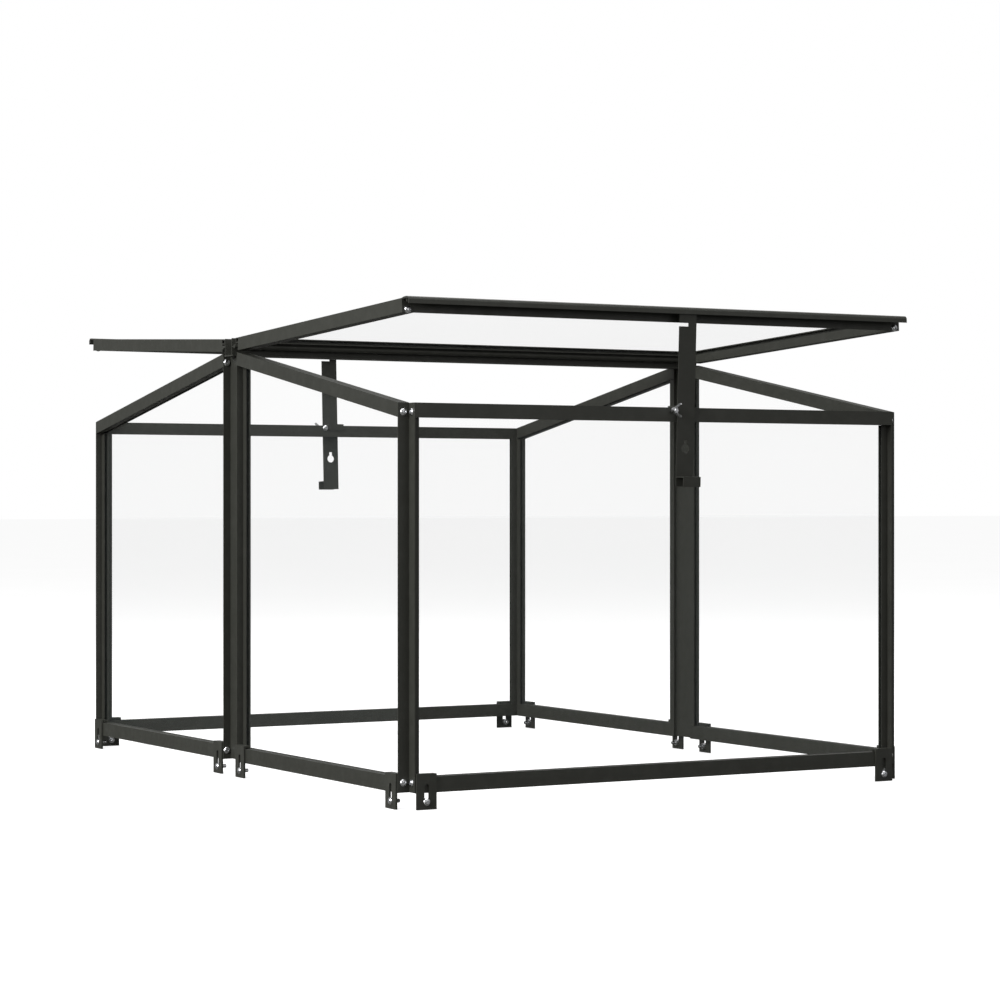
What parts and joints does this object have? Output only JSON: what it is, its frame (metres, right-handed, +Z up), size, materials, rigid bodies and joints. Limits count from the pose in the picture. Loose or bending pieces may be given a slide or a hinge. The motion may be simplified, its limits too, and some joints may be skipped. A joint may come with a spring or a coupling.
{
  "type": "cold frame",
  "caption": "Glazed rectangular cold frame with a low gable roof of two top-hinged lids propped open on flat stays, standing on bolted anchor clips.",
  "frame": {"origin": "centre of the footprint, level with the lower ends of the anchor clips", "axes": "+X along the ridge, +Y across the ridge towards the rear lid, +Z up"},
  "size_m": [0.9464, 1.306, 0.7695],
  "materials": {
    "powder_coat": "powder coated, dark grey-green, fine satin texture",
    "glazing": "clear, polished",
    "zinc": "bright zinc plated"
  },
  "bodies": {
    "frame": {"anchor_bolts": "zinc", "anchor_clips_front": "powder_coat", "anchor_clips_left": "powder_coat", "anchor_clips_rear": "powder_coat", "anchor_clips_right": "powder_coat", "anchor_nuts": "zinc", "base_rail_front": "powder_coat", "base_rail_left_front": "powder_coat", "base_rail_left_rear": "powder_coat", "base_rail_rear": "powder_coat", "base_rail_right_front": "powder_coat", "base_rail_right_rear": "powder_coat", "corner_post_front_left": "powder_coat", "corner_post_front_right": "powder_coat", "corner_post_rear_left": "powder_coat", "corner_post_rear_right": "powder_coat", "corner_post_screws": "zinc", "eave_rail_front": "powder_coat", "eave_rail_rear": "powder_coat", "pane_front": "glazing", "pane_left_front": "glazing", "pane_left_rear": "glazing", "pane_rear": "glazing", "pane_right_front": "glazing", "pane_right_rear": "glazing", "rafter_left_front": "powder_coat", "rafter_left_rear": "powder_coat", "rafter_right_front": "powder_coat", "rafter_right_rear": "powder_coat", "ridge_beam": "powder_coat", "ridge_post_left": "powder_coat", "ridge_post_right": "powder_coat", "ridge_post_screws": "zinc", "stay_saddle_front": "powder_coat", "stay_saddle_rear": "powder_coat", "stay_stud_front": "zinc", "stay_stud_rear": "zinc"},
    "lid_front": {"lid_front_hinge_rail": "powder_coat", "lid_front_nose_bar": "powder_coat", "lid_front_pane": "glazing", "lid_front_screws": "zinc", "lid_front_side_rail_left": "powder_coat", "lid_front_side_rail_right": "powder_coat"},
    "lid_rear": {"lid_rear_hinge_rail": "powder_coat", "lid_rear_nose_bar": "powder_coat", "lid_rear_pane": "glazing", "lid_rear_screws": "zinc", "lid_rear_side_rail_left": "powder_coat", "lid_rear_side_rail_right": "powder_coat"},
    "stay_front": {"stay_front": "powder_coat"},
    "stay_rear": {"stay_rear": "powder_coat"},
    "wing_nut_front": {"wing_nut_front": "zinc"},
    "wing_nut_rear": {"wing_nut_rear": "zinc"}
  },
  "joints": [
    {"name": "lid_front_hinge", "type": "hinge", "parent": "frame", "child": "lid_front", "pos_m": [0, -0.023, 0.723], "axis": [-1, 0, 0], "range_deg": [-12.6, 2]},
    {"name": "stay_front_hinge", "type": "hinge", "parent": "lid_front", "child": "stay_front", "pos_m": [0.03485, -0.63599, 0.76263], "axis": [-1, 0, 0], "range_deg": [-2.5, 13.5]},
    {"name": "wing_nut_front_turn", "type": "hinge", "parent": "frame", "child": "wing_nut_front", "pos_m": [0.0125, -0.636, 0.606], "axis": [0, -1, 0], "continuous": true},
    {"name": "lid_rear_hinge", "type": "hinge", "parent": "frame", "child": "lid_rear", "pos_m": [0, 0.023, 0.723], "axis": [1, 0, 0], "range_deg": [-12.6, 2]},
    {"name": "stay_rear_hinge", "type": "hinge", "parent": "lid_rear", "child": "stay_rear", "pos_m": [0.03485, 0.63599, 0.76263], "axis": [1, 0, 0], "range_deg": [-2.5, 13.5]},
    {"name": "wing_nut_rear_turn", "type": "hinge", "parent": "frame", "child": "wing_nut_rear", "pos_m": [0.0125, 0.636, 0.606], "axis": [0, 1, 0], "continuous": true}
  ],
  "couplings": [
    {"joint": "stay_front_hinge", "follows": "lid_front_hinge", "ratio": -1},
    {"joint": "stay_rear_hinge", "follows": "lid_rear_hinge", "ratio": -1}
  ]
}
